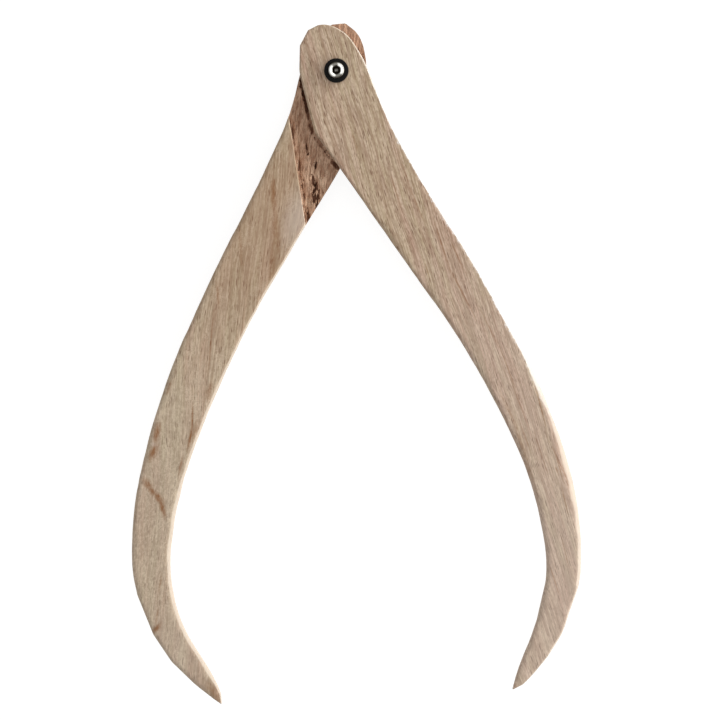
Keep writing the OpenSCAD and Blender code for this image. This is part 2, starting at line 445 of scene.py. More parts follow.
# Brown marks in the wood: photograph pixel, degrees right of straight down, length and width in mm,
# raggedness, softness, strength
BROWN_MARKS = {
    "front_arm": (
        (442, 247, 18, 28, 0.8, 0.3, 0.8, 0.65), (461.5, 292, 27, 24, 0.8, 0.3, 0.8, 0.65),
        (395, 190, 18, 17, 0.7, 0.3, 0.8, 0.5), (416, 204, 23, 18, 0.7, 0.3, 0.8, 0.55),
        (457, 256, 25, 19, 0.7, 0.3, 0.8, 0.55), (426.5, 270, 18, 9, 0.7, 0.3, 0.8, 0.5),
        (524, 435, 19, 13, 0.7, 0.3, 0.8, 0.5), (559, 463, 25, 19, 0.7, 0.3, 0.8, 0.55),
        (564, 500, 13, 13, 0.7, 0.3, 0.8, 0.55), (354, 140, 17, 16, 0.7, 0.3, 0.8, 0.4),
        (489, 328, 26, 22, 0.7, 0.3, 0.8, 0.45), (508, 370, 21, 26, 0.7, 0.3, 0.8, 0.5),
        (539, 403, 15, 22, 0.7, 0.25, 0.7, 0.7), (517, 398, 21, 22, 0.7, 0.25, 0.8, 0.45),
        (566, 476, 15, 32, 1.1, 0.3, 0.8, 0.55), (559, 468, 17, 13, 0.6, 0.25, 0.7, 0.6),
        (525, 458, 17, 34, 2.0, 0.4, 0.9, 0.4), (541, 455, 18, 24, 0.6, 0.3, 0.8, 0.4),
        (509, 412, 25, 20, 1.4, 0.35, 0.9, 0.4), (556, 470, 20, 5, 0.7, 0.3, 0.7, 0.6),
        (407, 180, 18, 30, 0.8, 0.3, 0.8, 0.35), (553, 577, 18, 14, 0.6, 0.2, 0.7, 0.5),
        (564, 551, 14, 14, 0.6, 0.2, 0.7, 0.4), (514, 685, 30, 3, 2.4, 0.3, 0.8, 0.4),
    ),
    "rear_arm": (
        (156.8, 432, -8, 8, 2.7, 0.3, 0.8, 0.95), (152.8, 452, -24, 7, 3.2, 0.35, 0.8, 0.95),
        (147.5, 483.5, 40, 6, 3.2, 0.35, 0.8, 0.85), (152, 490.5, 46, 6.5, 2.6, 0.3, 0.8, 0.85),
        (158.5, 497, 40, 6, 3, 0.25, 0.8, 1.0), (162, 506, 16, 9, 2.4, 0.3, 0.8, 0.95),
        (156, 628, -35, 5.5, 2.3, 0.3, 0.8, 0.9), (157, 615, -8, 8, 0.9, 0.25, 0.8, 0.45),
        (214, 692, 35, 12, 4.5, 0.3, 0.9, 0.6), (192, 421, -2, 14, 0.9, 0.15, 0.7, 0.9),
        (190, 437, -12, 10, 1.4, 0.25, 0.8, 0.9), (194, 431, -20, 9, 3, 0.35, 0.9, 0.55),
        (180.5, 465, -12, 8, 1.2, 0.25, 0.8, 0.65), (273, 194, 2, 14, 2.6, 0.35, 0.9, 0.8),
        (276, 232, 4, 20, 3.2, 0.4, 0.9, 0.55), (272.5, 262, 0, 14, 2.6, 0.4, 0.9, 0.5),
        (270.5, 275, -8, 5, 1.2, 0.3, 0.8, 0.6), (217.5, 294, 6, 13, 1, 0.35, 0.8, 0.55),
        (240, 246, 4, 16, 1.6, 0.4, 0.9, 0.4), (210.5, 343, -5, 26, 0.7, 0.15, 0.7, 0.65),
        (168.7, 387, -16, 6, 1.4, 0.3, 0.8, 0.65), (209, 390, -18, 9, 2.6, 0.35, 0.9, 0.5),
        (160, 583, -10, 8, 1.2, 0.3, 0.8, 0.45),
    ),
}
# Where the wood is warmer, and where it is paler
WARM_REGIONS = {
    "front_arm": ((400, 200, 30, 150, 50, 0.2, 0.9, 0.2),),
    "rear_arm": ((272, 215, -25, 110, 44, 0.2, 0.9, 1.0), (208, 690, 40, 20, 10, 0.2, 0.9, 0.3)),
}
PALE_REGIONS = {
    "front_arm": ((556, 600, 0, 190, 80, 0.1, 0.9, 0.7), (520, 400, 26, 130, 50, 0.1, 0.9, 0.45)),
    "rear_arm": (
        (150, 530, 0, 170, 90, 0.1, 0.9, 0.35), (175, 650, 32, 70, 40, 0.1, 0.9, 0.5),
        (153.5, 444, -30, 2.4, 3.4, 0.2, 0.7, 0.9), (297, 218, -15, 26, 12, 0.2, 0.9, 0.9),
    ),
}
# Where a painted highlight turns the sanded edge near white
PAINTED_HIGHLIGHT_REGIONS = {
    "front_arm": ((446, 230, 29, 172, 24, 0.1, 0.4, 0.9),),
    "rear_arm": (),
}
# Where the grain is mottled instead of lined
MOTTLED_REGIONS = {
    "front_arm": (),
    "rear_arm": ((155, 540, -8, 160, 60, 0.1, 0.8, 0.55),),
}

WARM_WOOD = tone(160, 118, 90)
PALE_WOOD = tone(216, 200, 187)
SANDED_AND_LIT_WOOD = tone(226, 213, 197)
PAINTED_HIGHLIGHT_WOOD = tone(250, 248, 246)
GRAIN_WANDER = 5.0  # how far the grain swings to either side, in mm
PAINTED_HIGHLIGHT_FROM = WOOD_FRONT - 2.6 * MM  # the painted highlight on the edge starts at this height
PAINTED_HIGHLIGHT_FULL = WOOD_FRONT - 1.4 * MM
# Shares of each layer in the wood's colour
STREAK_SHARE = 0.6
PALE_DASH_SHARE = 0.3
DARK_DASH_SHARE = 0.22
FINE_SHARE = 0.52
FLECK_SHARE = 0.55
PORE_SHARE = 0.8
SMALL_PORE_SHARE = 0.5


def wood_material(node):
    wood = WOODS[node]
    material, w = new_material(node + "_wood")
    place = w.place()
    grain = w.group(GRAIN, {
        "Vector": place, "Pivot": (PIVOT[0], PIVOT[1], 0), "Angle": down_angle(wood["lean"]),
        "Tilt": wood["tilt"], "Turn At": wood["turn_at"], "Wander": GRAIN_WANDER,
    })["Vector"]

    def lines(across, along, seed, sharpness):
        values = {"Vector": grain, "Across": across, "Along": along, "Sharpness": sharpness}
        return w.group(STREAKS, {**values, "Seed": wood["seed"] + seed})["Streaks"]

    def dark_dashes(across, along, size, seed):
        values = {"Vector": grain, "Across": across, "Along": along, "Size": size, "Share": wood["pores"]}
        return w.group(PORES, {**values, "Seed": wood["seed"] + seed})["Pores"]

    # Size across and along the grain in mm, seed, sharpness
    bands = lines(5.0, 90.0, 1.0, 0.45)
    streaks = lines(1.5, 26.0, 5.0, 0.4)
    fine = lines(0.6, 14.0, 9.0, 0.65)
    dashes = lines(0.5, 4.0, 13.0, 0.35)
    # Room across and along the grain in mm, size in that room, seed
    pores = dark_dashes(0.9, 7.0, 0.3, 0.0)
    small = dark_dashes(0.7, 3.4, 0.32, 20.0)
    speckle = w.noise(w.scaled(grain, (0.9, 0.4, 0.9)), detail=2.0, rough=0.7)
    mottled = stains(w, place, MOTTLED_REGIONS[node])
    curls = w.noise(w.scaled(grain, (1.0, 0.6, 1.0)), detail=2.0, rough=0.7, warp=0.8)
    lined = w.minus(1.0, w.times(mottled, 0.6))
    base = w.mix(bands, wood["warm"], wood["beige"])
    color = w.mix(w.times(w.times(streaks, lined), STREAK_SHARE), base, wood["pale"])
    color = w.mix(w.times(dashes, PALE_DASH_SHARE), color, wood["pale"])
    color = w.mix(w.times(w.minus(1.0, dashes), DARK_DASH_SHARE), color, wood["dark"])
    dark_lines = w.times(w.minus(1.0, fine), FINE_SHARE)
    color = w.mix(w.times(dark_lines, lined), color, wood["dark"])
    color = w.mix(w.between(speckle, 0.4, 0.65, 0.0, 0.3), color, wood["dark"])
    color = w.mix(w.times(mottled, w.between(curls, 0.55, 0.4, 0.0, 0.4)), color, wood["dark"])
    color = w.mix(w.times(mottled, w.between(curls, 0.5, 0.68, 0.0, 0.6)), color, wood["pale"])
    if wood["flecks"]:
        flecks = w.group(FLECKS, {"Vector": grain, "Size": 1.5, "Share": wood["flecks"]})["Flecks"]
        color = w.mix(w.times(flecks, FLECK_SHARE), color, wood["pale"])
    color = w.mix(w.times(w.times(pores, lined), PORE_SHARE), color, wood["pore"])
    color = w.mix(w.times(small, SMALL_PORE_SHARE), color, wood["pore"])
    color = w.mix(stains(w, place, WARM_REGIONS[node]), color, w.mix(0.4, color, WARM_WOOD))
    color = w.mix(stains(w, place, PALE_REGIONS[node]), color, w.mix(0.5, color, PALE_WOOD))
    broken = w.times(w.between(speckle, 0.35, 0.55, 0.7, 1.0), w.between(dashes, 0.0, 1.0, 1.0, 0.85))
    color = w.mix(w.times(stains(w, place, BROWN_MARKS[node]), broken), color, BROWN)
    # The 'sanded' attribute is paler sanded wear, plus a painted highlight that is strongest on edges facing
    # the key lamp
    sanded = w.painted("sanded")
    worn_and_lit = w.plus(sanded, w.times(w.minus(speckle, 0.5), 0.5))
    color = w.mix(w.between(worn_and_lit, 0.2, 0.5, 0.0, 0.65), color, SANDED_AND_LIT_WOOD)
    # Painted highlight: near the front face, in the listed region, the right-facing sanded edge is painted
    # near white
    near_front = w.between(w.parts(place)[2], PAINTED_HIGHLIGHT_FROM, PAINTED_HIGHLIGHT_FULL)
    painted_highlight = w.times(w.between(worn_and_lit, 0.1, 0.3), stains(w, place, PAINTED_HIGHLIGHT_REGIONS[node]))
    color = w.mix(w.times(painted_highlight, near_front), color, PAINTED_HIGHLIGHT_WOOD)
    color = torn_color(w, place, grain, color)
    shine = w.add("ShaderNodeBsdfPrincipled", {"Base Color": color, "IOR": 1.45, "Specular IOR Level": 0.3})
    rough = w.plus(0.6, w.times(fine, 0.14))
    w.feed(shine.inputs["Roughness"], rough)
    pits = w.plus(pores, w.times(small, 0.6))
    relief = w.minus(w.times(fine, 0.4), pits)
    bump = w.add("ShaderNodeBump", {"Height": relief, "Strength": 0.35, "Distance": 0.06 * MM})
    w.feed(shine.inputs["Normal"], bump.outputs[0])
    finish_material(w, shine.outputs[0])
    return material


TORN_LIGHT = tone(212, 177, 149)
TORN_RED = tone(164, 125, 99)
TORN_DARK_FIBRE_AND_SHADE = tone(108, 72, 52)
TORN_PALE = tone(228, 198, 168)
TORN_SMOOTH = tone(186, 148, 122)
# Where the torn floor is sawn smooth
SMOOTH_REGIONS = ((352, 42, 25, 42, 26, 0.1, 0.5, 1),)
# Ridges of paler wood on the torn floor, given as the brown marks are
TORN_RIDGES = (
    (299, 142, 8, 9, 1.2, 0.6, 0.8, 0.5), (309, 202, 28, 4.5, 2.6, 0.5, 0.7, 0.7),
    (320, 180, 22, 10, 1.8, 0.5, 0.8, 0.6), (304, 120, 6, 12, 1.4, 0.6, 0.8, 0.35),
    (312, 172, 10, 5, 1.4, 0.5, 0.7, 0.45), (325, 168, 30, 8, 2.2, 0.5, 0.8, 0.35),
)


def torn_color(w, place, grain, sound):
    """The reddish brown of a lap's torn floor, where the mesh says that the wood is torn, with painted shade
    that darkens its deeper hollows.
    """
    torn = w.painted("torn")
    depth = w.painted("torn_depth")
    blotch = w.noise(w.scaled(grain, (0.6, 0.12, 0.6)), detail=4.0, rough=0.6, warp=0.3)
    fibre = w.noise(w.scaled(grain, (2.2, 0.25, 2.2)), detail=3.0, rough=0.6)
    color = w.mix(w.between(blotch, 0.38, 0.62), TORN_RED, TORN_LIGHT)
    color = w.mix(stains(w, place, TORN_RIDGES), color, TORN_PALE)
    color = w.mix(w.between(fibre, 0.55, 0.32, 0.0, 0.75), color, TORN_DARK_FIBRE_AND_SHADE)
    # Painted shade: the deeper the torn hollow, the darker it is
    color = w.mix(w.between(depth, 0.4, 1.3, 0.0, 1.0), color, TORN_DARK_FIBRE_AND_SHADE)
    color = w.mix(w.times(stains(w, place, SMOOTH_REGIONS), 0.7), color, TORN_SMOOTH)
    return w.mix(torn, sound, color)


# Lines on the flat: outlines that follow the frame


def lengths(vectors):
    return np.linalg.norm(vectors, axis=1)


OUTLINE_STEP = 0.9 * MM
LEVEL = 0.02 * MM  # vertices this close in height lie on one level
SAWN_WAVE = 0.1 * MM  # how far a sawn and sanded edge wanders
LONG_WAVE, SHORT_WAVE = 14 * MM, 5 * MM
OFF_OUTLINE = 0.4 * MM  # the lap's edge is a shoulder where it is farther in than this
RUN_OUT = 12 * MM  # how far the shoulder's line goes on past the outline
POINT_STEPS = 5  # steps of the outline that run straight to a tip
TIP_HOOK = {"front_arm": 1.15 * MM, "rear_arm": 0.2 * MM}
TIP_BACK = {"front_arm": 0.35 * MM, "rear_arm": 0}
# Straight stretches that the saw left in the outlines, each between two photograph pixels
FLATS = {
    "front_arm": (
        ((300.3, 68), (300.5, 46)), ((300.5, 45.5), (307.3, 31.2)), ((307.6, 30.8), (317, 26)),
        ((577.3, 586), (569.5, 607)), ((561.3, 635), (549, 656)), ((548, 657.5), (536, 671)),
        ((547.8, 582), (538, 619)),
    ),
    "rear_arm": (
        ((331, 23.3), (344, 23.3)), ((345, 23.6), (353, 30)), ((137.2, 595), (152.8, 632)),
        ((153.5, 634), (171.2, 660)), ((172.5, 662), (192, 683)),
    ),
}


def chained(edges):
    """Edges between plan points, put in order as closed loops, the longest first."""
    near = {}
    for a, b in edges:
        near.setdefault(a, set()).add(b)
        near.setdefault(b, set()).add(a)
    loops = []
    left = set(near)
    while left:
        point = min(left)
        loop = [point]
        left.discard(point)
        while True:
            ways = [p for p in near[point] if p in left]
            if not ways:
                break
            point = min(ways)
            loop.append(point)
            left.discard(point)
        loops.append(np.array(loop))
    return sorted(loops, key=len, reverse=True)


def flat_key(vertex):
    return round(vertex.co.x, 6), round(vertex.co.y, 6)


def level_loop(node, height):
    """The line that a CAD node's edges draw at one height where its walls stand upright."""
    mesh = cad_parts[node].data
    at = {v.index: flat_key(v) for v in mesh.vertices if abs(v.co.z - height) < LEVEL}
    ends = [tuple(e.vertices) for e in mesh.edges]
    edges = {tuple(sorted((at[a], at[b]))) for a, b in ends if a in at and b in at}
    return chained([e for e in edges if e[0] != e[1]])[0]


def floor_loop(node, height):
    """The line round a CAD node's flat face at one height."""
    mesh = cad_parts[node].data
    used = {}
    for face in mesh.polygons:
        corners = [mesh.vertices[i] for i in face.vertices]
        if all(abs(v.co.z - height) < LEVEL for v in corners):
            keys = [flat_key(v) for v in corners]
            for a, b in zip(keys, keys[1:] + keys[:1]):
                edge = tuple(sorted((a, b)))
                used[edge] = used.get(edge, 0) + 1
    return chained([e for e, times in used.items() if times == 1 and e[0] != e[1]])[0]


def smooth_line(p):
    """A smooth curve through points, cut into equal steps."""
    gap = lengths(np.diff(p, axis=0))
    slope = np.diff(p, axis=0) / gap[:, None]
    before = np.vstack([slope[:1], slope])
    after = np.vstack([slope, slope[-1:]])
    gap_before = np.append(gap[0], gap)
    gap_after = np.append(gap, gap[-1])
    tangent = (before * gap_after[:, None] + after * gap_before[:, None]) / (gap_before + gap_after)[:, None]
    pieces = []
    for i, length in enumerate(gap):
        n = max(1, round(length / (OUTLINE_STEP / 8)))
        t = (np.arange(n) / n)[:, None]
        pieces.append(
            (1 + 2 * t) * (1 - t) ** 2 * p[i] + t * (1 - t) ** 2 * length * tangent[i]
            + t * t * (3 - 2 * t) * p[i + 1] + t * t * (t - 1) * length * tangent[i + 1]
        )
    fine = np.vstack(pieces + [p[-1:]])
    run = np.append(0, np.cumsum(lengths(np.diff(fine, axis=0))))
    count = max(8, round(run[-1] / OUTLINE_STEP))
    places = np.linspace(0, run[-1], count + 1)
    return np.stack([np.interp(places, run, fine[:, 0]), np.interp(places, run, fine[:, 1])], 1)


def nearest_on(points, line, closed=True):
    """For each point its distance to a line, and the place along the line, counted in the line's points."""
    tree = KDTree(len(line))
    for i, (x, y) in enumerate(line):
        tree.insert((x, y, 0), i)
    tree.balance()
    near = np.array([tree.find((x, y, 0))[1] for x, y in points])
    last = len(line) if closed else len(line) - 1
    best = np.full(len(points), np.inf)
    place = np.zeros(len(points))
    for k in (near - 1, near):
        k = k % len(line) if closed else np.clip(k, 0, last - 1)
        a = line[k]
        way = line[(k + 1) % len(line)] - a
        t = np.clip(((points - a) * way).sum(1) / (way ** 2).sum(1), 0, 1)
        far = lengths(a + way * t[:, None] - points)
        closer = far < best
        best[closer] = far[closer]
        place[closer] = (k + t)[closer]
    return best, place


def inside(points, line):
    """Which points lie inside a closed line."""
    a, b = line, np.roll(line, -1, axis=0)
    found = np.zeros(len(points), bool)
    for (ax, ay), (bx, by) in zip(a, b):
        if ay != by:
            crosses = (ay > points[:, 1]) != (by > points[:, 1])
            found ^= crosses & (points[:, 0] < ax + (points[:, 1] - ay) / (by - ay) * (bx - ax))
    return found


def wander(place, seed, size):
    """A smooth random function of a place, between about -1 and 1, that changes over the given size."""
    return np.array([noise.noise(Vector((v / size, seed, 0.5))) for v in place]) * 2


class Arm:
    """One arm as the frame has it: its outline, its own axes and its lap."""

    def __init__(self, node, ring_height, floor_height):
        low = np.array([v.co.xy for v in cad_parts[node].data.vertices])
        tip = low[lengths(low - PIVOT).argmax()]
        self.node = node
        self.reach = np.linalg.norm(tip - PIVOT)
        self.down = (tip - PIVOT) / self.reach
        side = np.array([-self.down[1], self.down[0]])
        self.out = side * math.copysign(1, side[0] * (tip[0] - PIVOT[0]))
        loop = level_loop(node, ring_height)
        first = int(lengths(loop - PIVOT).argmax())
        loop = np.roll(loop, -first, axis=0)
        self.outline = smooth_line(np.vstack([loop, loop[:1]]))[:-1]
        area = np.cross(self.outline, np.roll(self.outline, -1, axis=0)).sum()
        if area < 0:
            self.outline = np.roll(self.outline[::-1], 1, axis=0)
        ahead = np.roll(self.outline, -1, axis=0) - np.roll(self.outline, 1, axis=0)
        ahead /= lengths(ahead)[:, None]
        self.inward = np.stack([-ahead[:, 1], ahead[:, 0]], 1)
        run = np.arange(len(self.outline)) * OUTLINE_STEP
        seed = len(node)
        wave = wander(run, seed, LONG_WAVE) + 0.5 * wander(run, seed + 3, SHORT_WAVE)
        self.outline = self.outline + self.inward * (SAWN_WAVE * (1 + wave))[:, None]
        self.lap = smooth_line(self.cut_out(floor_loop(node, floor_height)))
        self.sharpen(tip)
        for start, stop in FLATS[node]:
            self.flatten(seen(*start), seen(*stop))

    def sharpen(self, tip):
        """Runs the outline straight to a point, which hooks a little towards the other arm."""
        point = tip - self.out * TIP_HOOK[self.node] - self.down * TIP_BACK[self.node]
        self.outline[0] = point
        for k in range(1, POINT_STEPS):
            for side in (1, -1):
                self.outline[side * k] = point + (self.outline[side * POINT_STEPS] - point) * k / POINT_STEPS

    def flatten(self, start, stop):
        """Cuts the outline straight between the two places on it that are nearest to two points."""
        count = len(self.outline)
        i, j = (int(lengths(self.outline - p).argmin()) for p in (start, stop))
        if (j - i) % count > count / 2:
            i, j = j, i
        steps = (j - i) % count
        first, last = self.outline[i].copy(), self.outline[j].copy()
        for k in range(1, steps):
            self.outline[(i + k) % count] = first + (last - first) * k / steps

    def own(self, points):
        """Points in the arm's own axes: away from the other arm, and up from the pivot."""
        return np.stack([(points - PIVOT) @ self.out, -(points - PIVOT) @ self.down], 1)

    def cut_out(self, loop):
        """The stretch of the lap's edge that is sawn across the arm, run out past the outline."""
        far, _ = nearest_on(loop, self.outline)
        across = far > OFF_OUTLINE
        start = int(np.flatnonzero(across & ~np.roll(across, 1))[0])
        loop = np.roll(loop, -start, axis=0)
        across = np.roll(across, -start)
        shoulder = loop[:int(across.argmin())] if not across.all() else loop
        ends = [(shoulder[0], shoulder[1]), (shoulder[-1], shoulder[-2])]
        first, last = (end + (end - inner) / np.linalg.norm(end - inner) * RUN_OUT for end, inner in ends)
        return np.vstack([first, shoulder, last])

    def beyond_shoulder(self, points):
        """Which points lie on the pivot's side of the lap's shoulder."""
        def turn(p):
            _, place = nearest_on(p, self.lap, closed=False)
            k = np.minimum(place.astype(int), len(self.lap) - 2)
            return np.cross(self.lap[k + 1] - self.lap[k], p - self.lap[k])
        return turn(points) * turn(PIVOT[None])[0] > 0

    def beside_lap(self, far):
        """The lap's edge moved onto the face, away from the pivot."""
        ahead = np.gradient(self.lap, axis=0)
        aside = np.stack([-ahead[:, 1], ahead[:, 0]], 1) / lengths(ahead)[:, None]
        moved = self.lap + far * aside
        return self.lap - far * aside if self.beyond_shoulder(moved[len(moved) // 2][None])[0] else moved

    def edge_width(self, place):
        """Width of the sanded round at places along the outline."""
        k = place.astype(int) % len(self.outline)
        x, y = self.own(self.outline[k]).T
        middle = self.own(self.outline)
        tip = middle[:, 1].argmin()
        head = middle[:, 1].argmax()
        step = 1 if middle[(head + OFF_HEAD) % len(middle), 0] > 0 else -1
        outer_count = ((tip - head) * step) % len(middle)
        outer = ((k - head) * step) % len(middle) < outer_count
        down = -y / MM
        outer_width = np.interp(down, *OUTER_EDGE[self.node])
        inner_width = np.interp(down, *INNER_EDGE[self.node])
        uneven = 1 + EDGE_UNEVEN * wander(place * OUTLINE_STEP, 7 + len(self.node), EDGE_WAVE)
        to_tip = np.hypot(x, y + self.reach)
        fade = np.minimum(1, EDGE_AT_TIP + to_tip / TIP_FADE)
        return np.where(outer, outer_width, inner_width) * MM * uneven * fade

    def sanded_and_lit_share(self, place):
        """How pale the sanded edge is along the outline, from 0 to 1: paler sanded wear, plus a painted
        highlight that is strongest where the edge faces right, towards the key lamp.
        """
        outward = -self.inward[place.astype(int) % len(self.outline)]
        return np.clip(LEAST_EDGE_PALENESS + LIT_EDGE_PALENESS_GAIN * (outward @ SEEN_RIGHT), LEAST_EDGE_PALENESS, 1)


# Width in mm of the sanded edges, at distances in mm down from the pivot
OUTER_EDGE = {
    "front_arm": (
        (-24, 5, 60, 150, 186, 197, 208, 218, 238, 248, 270, 279, 283, 321),
        (0.5, 0.6, 0.9, 1.3, 2, 1.6, 2.2, 3.2, 3, 2.1, 2.1, 1.7, 0.7, 0.5),
    ),
    "rear_arm": ((-24, 30, 120, 220, 321), (0.7, 1, 1.2, 1.3, 1)),
}
INNER_EDGE = {
    "front_arm": ((-24, 0, 60, 120, 220, 321), (0.6, 0.7, 1, 1.2, 1.5, 1.2)),
    "rear_arm": ((-24, 60, 90, 150, 180, 220, 250, 321), (0.5, 0.6, 0.8, 0.9, 1.3, 1.6, 1.7, 1.6)),
}
OFF_HEAD = 5  # steps from the head's end to where the outline's side shows
# Paleness of the sanded edge, part painted highlight: least where the edge faces away from the key lamp,
# growing as it faces right
LEAST_EDGE_PALENESS = 0.1
LIT_EDGE_PALENESS_GAIN = 1.3
EDGE_UNEVEN = 0.13  # share by which the sanded edge's width comes and goes
EDGE_WAVE = 9 * MM
EDGE_AT_TIP = 0.08  # share of the width that is left at the tip
TIP_FADE = 16 * MM
ROUND_SHARES = [1 - math.cos(math.radians(a)) for a in (0, 13, 26, 40, 54, 70, 90)]
ROUND_DEPTH = 0.85  # depth of the sanded round for one of width
DEEPEST_ROUND = 3.4 * MM
THINNEST_ROUND = 0.05 * MM
FACETED = 0.6  # share of a flat facet in the sanded edge's shape
FACE_STEP = 1.7 * MM
TORN_STEP = 0.45 * MM
ROW_SPACING = 0.87  # distance of two rows of points, for 1 in a row
JITTER = 0.18
CLEARANCE = 0.3 * TORN_STEP  # least distance of other points from the lap's line and the bore
SHOULDER_EASE = 0.4 * MM  # width of the sanded edge along the lap's shoulder
SHOULDER_PALE = 0.3  # how pale that edge is, part sanded wear and part painted highlight, for 1 on the palest outer edge
BORE_R = 2.5 * MM
BORE_SIDES = 64


def grid_in(line, step, seed):
    """Points in rows over a closed line's box, each moved a little, kept where they are inside."""
    low, high = line.min(0), line.max(0)
    xs = np.arange(low[0], high[0], step)
    ys = np.arange(low[1], high[1], step * ROW_SPACING)
    x, y = np.meshgrid(xs, ys)
    x = x + (np.arange(len(ys)) % 2)[:, None] * step / 2
    points = np.stack([x.ravel(), y.ravel()], 1)
    points += np.random.default_rng(seed).uniform(-JITTER, JITTER, points.shape) * step
    return points[inside(points, line)]


def ring_edges(start, count):
    return [(start + i, start + (i + 1) % count) for i in range(count)]


def plan_of(arm):
    """The arm's plan, cut into triangles that follow its outline, its sanded edges, its lap and its bore."""
    width = arm.edge_width(np.arange(len(arm.outline)).astype(float))
    around = np.arange(BORE_SIDES) * 2 * math.pi / BORE_SIDES
    bore = PIVOT + BORE_R * np.stack([np.cos(around), np.sin(around)], 1)
    groups = [arm.outline, bore, arm.lap]
    edges = ring_edges(0, len(arm.outline)) + ring_edges(len(arm.outline), BORE_SIDES)
    start = len(arm.outline) + BORE_SIDES
    edges += [(start + i, start + i + 1) for i in range(len(arm.lap) - 1)]
    for share in ROUND_SHARES[1:]:
        ring = arm.outline + arm.inward * (share * width)[:, None]
        far, _ = nearest_on(ring, arm.outline)
        groups.append(ring[inside(ring, arm.outline) & (far > 0.9 * share * width)])
    face = grid_in(arm.outline, FACE_STEP, 1)
    far, place = nearest_on(face, arm.outline)
    face = face[far > arm.edge_width(place) + 0.4 * FACE_STEP]
    groups.append(face[~arm.beyond_shoulder(face)])
    for share in (0.5, 1.0):
        eased = arm.beside_lap(share * SHOULDER_EASE)
        groups.append(eased[inside(eased, arm.outline)])
    torn = grid_in(arm.outline, TORN_STEP, 2)
    torn = torn[arm.beyond_shoulder(torn)]
    far, _ = nearest_on(torn, arm.outline)
    groups.append(torn[far > 0.5 * TORN_STEP])
    points = np.vstack(groups)
    to_lap, _ = nearest_on(points, arm.lap, closed=False)
    from_pivot = lengths(points - PIVOT)
    keep = (to_lap > CLEARANCE) & (from_pivot > BORE_R + CLEARANCE)
    keep[:start + len(arm.lap)] = True
    index = np.cumsum(keep) - 1
    found = delaunay_2d_cdt(
        [Vector(p / MM) for p in points[keep]], [(index[a], index[b]) for a, b in edges], [], 0, 1e-5
    )
    plan = np.array([tuple(v) for v in found[0]]) * MM
    triangles = np.array([f for f in found[2]])
    middle = plan[triangles].mean(1)
    kept = inside(middle, arm.outline) & (lengths(middle - PIVOT) > BORE_R)
    return plan, triangles[kept]


def round_drop(far, width):
    """How deep below a face its sanded edge lies, at a distance from the outline."""
    share = np.clip(1 - far / np.maximum(width, THINNEST_ROUND), 0, 1)
    depth = np.minimum(ROUND_DEPTH * width, DEEPEST_ROUND)
    return depth * ((1 - FACETED) * (1 - np.sqrt(1 - share ** 2)) + FACETED * share)


def bumps(points, turn, across, along, seed):
    """Smooth noise, about -1 to 1, on points in the plan, sized across and along a grain."""
    c, s = math.cos(turn), math.sin(turn)
    u = (points[:, 0] * c + points[:, 1] * s) / across
    v = (points[:, 1] * c - points[:, 0] * s) / along
    return np.array([noise.noise(Vector((a, b, seed))) for a, b in zip(u, v)]) * 2


# Depths in mm of the torn wood's relief
RIDGE_DEPTH = 0.34
SLIVER_DEPTH = 0.3
GRIT_DEPTH = 0.16


def torn_depth(points, turn, marks):
    """How deep the wood is torn out of a lap's floor, with hollows at given places."""
    ridges = 1 - np.abs(bumps(points, turn, 2.6 * MM, 17 * MM, 1.5))
    slivers = np.abs(bumps(points, turn, 0.9 * MM, 5 * MM, 4.5))
    grit = np.abs(bumps(points, turn, 0.5 * MM, 0.8 * MM, 8.5))
    depth = RIDGE_DEPTH * np.clip(ridges, 0, 1) ** 2 + SLIVER_DEPTH * slivers + GRIT_DEPTH * grit
    ragged = 0.9 * bumps(points, turn, 0.75 * MM, 3 * MM, 2.5)
    ragged += 0.5 * bumps(points, turn, 0.4 * MM, 1.3 * MM, 6.5)
    for px, py, angle, length, wide, deep in marks:
        way = np.array([math.cos(math.radians(angle)), -math.sin(math.radians(angle))])
        along_way = way[0] * SEEN_RIGHT + way[1] * SEEN_UP
        offset = points - seen(px, py)
        u = offset @ along_way / (length * MM / 2)
        v = (offset[:, 0] * along_way[1] - offset[:, 1] * along_way[0]) / (wide * MM / 2)
        depth += deep * np.clip(1.2 - u * u - v * v + ragged, 0, 1) * (u * u + v * v < 2.5)
    return depth * MM


def new_mesh(name, vertices, faces, sharp=40):
    mesh = bpy.data.meshes.new(name)
    mesh.from_pydata([tuple(v) for v in vertices], [], [tuple(int(i) for i in f) for f in faces])
    mesh.validate()
    mesh.shade_smooth()
    mesh.set_sharp_from_angle(angle=math.radians(sharp))
    piece = bpy.data.objects.new(name, mesh)
    bpy.context.scene.collection.objects.link(piece)
    return piece


def add_attribute(piece, name, values):
    attribute = piece.data.attributes.new(name, "FLOAT", "POINT")
    attribute.data.foreach_set("value", np.asarray(values, np.float32))


# Hollows in a lap's floor: photograph pixel, degrees below horizontal, length, width and depth in mm. The row
# along the front arm's edge, from (300.5, 82) to (335.5, 165), is darkened by painted shade with depth and
# stands in for that arm's cast shadow.
REAR_HOLLOWS_AND_SHADOW_LINE = (
    (307.5, 151, 80, 6, 1.3, 1.3), (314.5, 163.5, 84, 5, 1.6, 1.7), (312, 180, 76, 6, 2.4, 1.1),
    (316, 187, 84, 6, 2.2, 1.1), (315, 197, 86, 9, 2.8, 1.4), (310.5, 190, 80, 5, 1.6, 0.8),
    (307, 214, 84, 8, 2, 1), (291.5, 132, 78, 11, 1, 0.5), (300, 172, 82, 14, 1.6, 0.6),
    (303, 196, 84, 9, 1.2, 0.6), (300.5, 82, 78, 14, 2.2, 1.2), (304, 100, 76, 10, 1.6, 0.9),
    (307, 112, 74, 8, 1.4, 0.7), (311, 130, 74, 6, 1.6, 0.8), (320, 145, 52, 9, 1.1, 0.5),
    (329, 157, 50, 8, 1.1, 0.5), (335.5, 165, 46, 6, 2, 0.9),
)
FACE_WAVE = 0.07 * MM
FLAT_ROUND_PIVOT = 9 * MM  # the faces don't wave nearer the pivot than this
WAVE_FADE = 8 * MM
TORN_FADE = 2 * MM  # the floor is whole at the bore and torn from this far off


